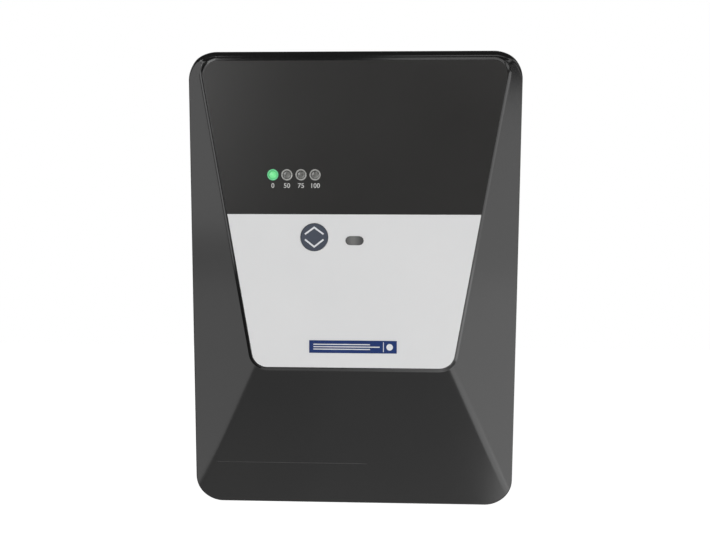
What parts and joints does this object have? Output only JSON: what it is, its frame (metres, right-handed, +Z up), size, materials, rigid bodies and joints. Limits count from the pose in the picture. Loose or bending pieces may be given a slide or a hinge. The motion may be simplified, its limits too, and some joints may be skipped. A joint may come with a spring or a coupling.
{
  "type": "pool salt chlorine generator",
  "caption": "Wall-hung control unit of a pool salt chlorine generator: a charcoal box with a raised tapered panel, indicator lamps, an output button and cable glands under a skirt.",
  "frame": {"origin": "middle of the wall bracket's back face, on the wall plane, at the middle of the box's height and width", "axes": "+X to the right as seen by the user, +Y into the wall so that the panel faces -Y, +Z up"},
  "size_m": [0.2342, 0.1161, 0.3278],
  "materials": {
    "bracket_steel": "pressed zinc-plated steel, dull",
    "housing_plastic": "fine moulded texture",
    "cover_plastic": "satin charcoal moulding",
    "seal_foam": "closed-cell foam",
    "screw_steel": "plated",
    "smoked_window": "dark printed film",
    "pale_panel": "pale grey printed film",
    "badge_blue": "navy print",
    "bezel_grey": "light grey",
    "lens_lit": "green, lit",
    "lens_grey": "smoky clear",
    "led_resin": "water-clear resin",
    "button_plastic": "slate grey with pale chevrons",
    "board_laminate": "green solder mask",
    "chip_resin": "moulded resin",
    "capacitor_sleeve": "heat-shrunk sleeve",
    "ribbon_vinyl": "grey vinyl",
    "heat_sink_aluminium": "extruded",
    "relay_plastic": "blue moulding",
    "terminal_plastic": "green moulding",
    "copper_winding": "varnished copper wire",
    "soft_rubber": "matt",
    "gland_nylon": "black nylon",
    "switch_plastic": "black",
    "fuse_plastic": "black",
    "fuse_glass": "clear tube"
  },
  "bodies": {
    "wall_bracket": {"wall_bracket": "bracket_steel"},
    "control_unit": {"rear_housing": "housing_plastic", "front_cover": "cover_plastic", "cover_gasket": "seal_foam", "cover_screw_1": "screw_steel", "cover_screw_2": "screw_steel", "cover_screw_3": "screw_steel", "cover_screw_4": "screw_steel", "transformer_washer": "screw_steel", "transformer_bolt": "screw_steel", "display_window": "smoked_window", "keypad_panel": "pale_panel", "name_badge": "badge_blue", "led_bezel_1": "bezel_grey", "led_bezel_2": "bezel_grey", "led_bezel_3": "bezel_grey", "led_bezel_4": "bezel_grey", "led_lens_1": "lens_lit", "led_lens_2": "lens_grey", "led_lens_3": "lens_grey", "led_lens_4": "lens_grey", "status_window": "lens_grey", "led_1": "led_resin", "led_2": "led_resin", "led_3": "led_resin", "led_4": "led_resin", "status_led": "led_resin", "control_board": "board_laminate", "power_board": "board_laminate", "tact_switch": "chip_resin", "controller_chip": "chip_resin", "bridge_rectifier": "chip_resin", "smoothing_capacitor": "capacitor_sleeve", "ribbon_cable": "ribbon_vinyl", "heat_sink": "heat_sink_aluminium", "polarity_relay_1": "relay_plastic", "polarity_relay_2": "relay_plastic", "terminal_block": "terminal_plastic", "transformer": "copper_winding", "transformer_pad": "soft_rubber", "mains_gland_seal": "soft_rubber", "sensor_gland_seal": "soft_rubber", "cell_gland_seal": "soft_rubber", "mains_gland_body": "gland_nylon", "mains_gland_nut": "gland_nylon", "mains_gland_locknut": "gland_nylon", "sensor_gland_body": "gland_nylon", "sensor_gland_nut": "gland_nylon", "sensor_gland_locknut": "gland_nylon", "cell_gland_body": "gland_nylon", "cell_gland_nut": "gland_nylon", "cell_gland_locknut": "gland_nylon", "switch_body": "switch_plastic", "fuse_holder": "fuse_plastic", "fuse": "fuse_glass"},
    "level_button": {"level_button": "button_plastic"},
    "switch_rocker": {"switch_rocker": "switch_plastic"},
    "fuse_cap": {"fuse_cap": "fuse_plastic"}
  },
  "joints": [
    {"name": "unit_lift_off", "type": "slide", "parent": "wall_bracket", "child": "control_unit", "axis": [0, 0, 1], "range_m": [0, 0.012]},
    {"name": "level_button_press", "type": "slide", "parent": "control_unit", "child": "level_button", "axis": [0, 1, 0], "range_m": [0, 0.0008], "stiffness_N_per_m": 1500, "springref_m": -0.0004},
    {"name": "rocker_tilt", "type": "hinge", "parent": "control_unit", "child": "switch_rocker", "pos_m": [-0.012, -0.029, -0.13], "axis": [0, -1, 0], "range_deg": [0, 20]},
    {"name": "fuse_cap_turn", "type": "hinge", "parent": "control_unit", "child": "fuse_cap", "pos_m": [0.03, -0.029, -0.134], "axis": [0, 0, 1], "range_deg": [0, 45]}
  ]
}
